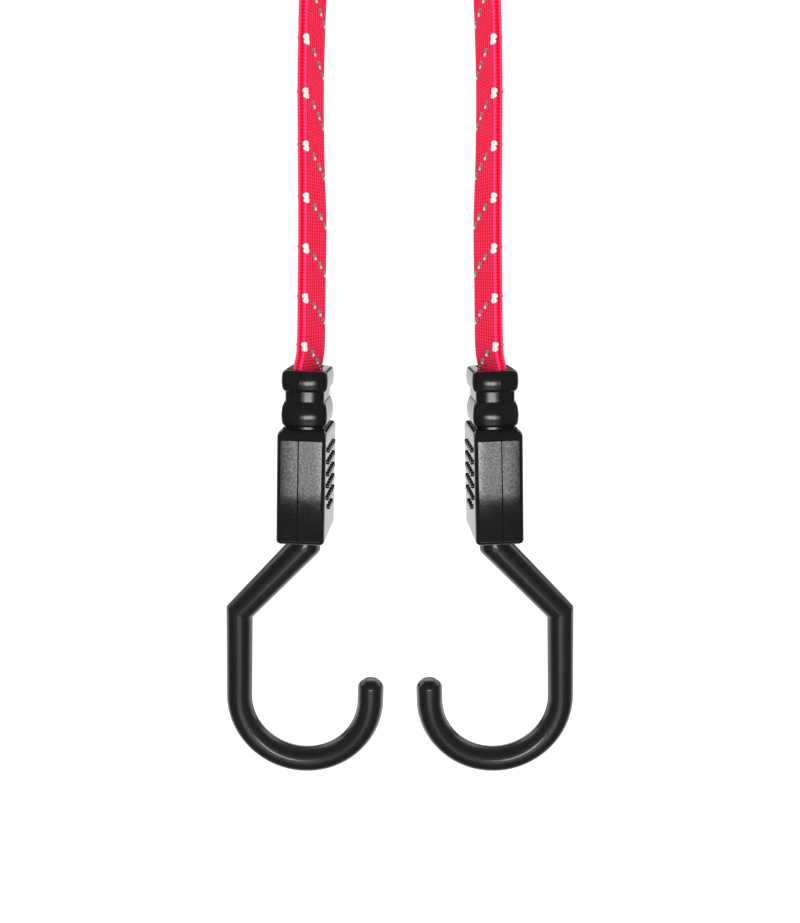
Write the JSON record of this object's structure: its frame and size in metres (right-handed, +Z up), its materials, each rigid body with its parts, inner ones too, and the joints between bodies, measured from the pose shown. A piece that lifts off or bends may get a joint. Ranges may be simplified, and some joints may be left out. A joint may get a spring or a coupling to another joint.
{
  "type": "bungee cord",
  "caption": "Flat elastic strap with a swivelling, plastic-covered steel hook on each end, folded in half over a peg so that both hooks hang down.",
  "frame": {"origin": "the inside top of the strap's loop, where the peg carries it", "axes": "+Z up, along the hanging straps; +X to the right seen from the front; +Y away from the front, along the peg and across the strap's width"},
  "size_m": [0.1166, 0.0304, 0.2924],
  "materials": {
    "webbing": "woven polyester, crimson with a pale reflective tracer yarn",
    "rubber": "raw cut rubber thread, dusted with talc",
    "housing": "black nylon, spark-eroded flats with glossy rounded edges",
    "hook": "black moulded cover, satin to gloss",
    "steel": "zinc-plated steel"
  },
  "bodies": {
    "strap": {"strap_sleeve": "webbing", "rubber_strand_1": "rubber", "rubber_strand_2": "rubber", "rubber_strand_3": "rubber", "rubber_strand_4": "rubber", "rubber_strand_5": "rubber", "rubber_strand_6": "rubber", "rubber_strand_7": "rubber", "rubber_strand_8": "rubber"},
    "left_end": {"left_outer_shell": "housing", "left_inner_shell": "housing", "left_strap_clip": "steel"},
    "left_hook": {"left_hook_cover": "hook", "left_hook_wire": "steel"},
    "right_end": {"right_outer_shell": "housing", "right_inner_shell": "housing", "right_strap_clip": "steel"},
    "right_hook": {"right_hook_cover": "hook", "right_hook_wire": "steel"}
  },
  "joints": [
    {"name": "left_stretch", "type": "slide", "parent": "strap", "child": "left_end", "axis": [-0.0332, 0, -0.9995], "range_m": [0, 0.1], "stiffness_N_per_m": 1200, "deforming": ["strap_sleeve", "rubber_strand_1", "rubber_strand_2", "rubber_strand_3", "rubber_strand_4", "rubber_strand_5", "rubber_strand_6", "rubber_strand_7", "rubber_strand_8"]},
    {"name": "left_hook_swivel", "type": "hinge", "parent": "left_end", "child": "left_hook", "pos_m": [-0.03056, 0, -0.20557], "axis": [-0.0332, 0, -0.9995], "continuous": true},
    {"name": "right_stretch", "type": "slide", "parent": "strap", "child": "right_end", "axis": [0.0332, 0, -0.9995], "range_m": [0, 0.1], "stiffness_N_per_m": 1200, "deforming": ["strap_sleeve", "rubber_strand_1", "rubber_strand_2", "rubber_strand_3", "rubber_strand_4", "rubber_strand_5", "rubber_strand_6", "rubber_strand_7", "rubber_strand_8"]},
    {"name": "right_hook_swivel", "type": "hinge", "parent": "right_end", "child": "right_hook", "pos_m": [0.03056, 0, -0.20557], "axis": [0.0332, 0, -0.9995], "continuous": true}
  ]
}
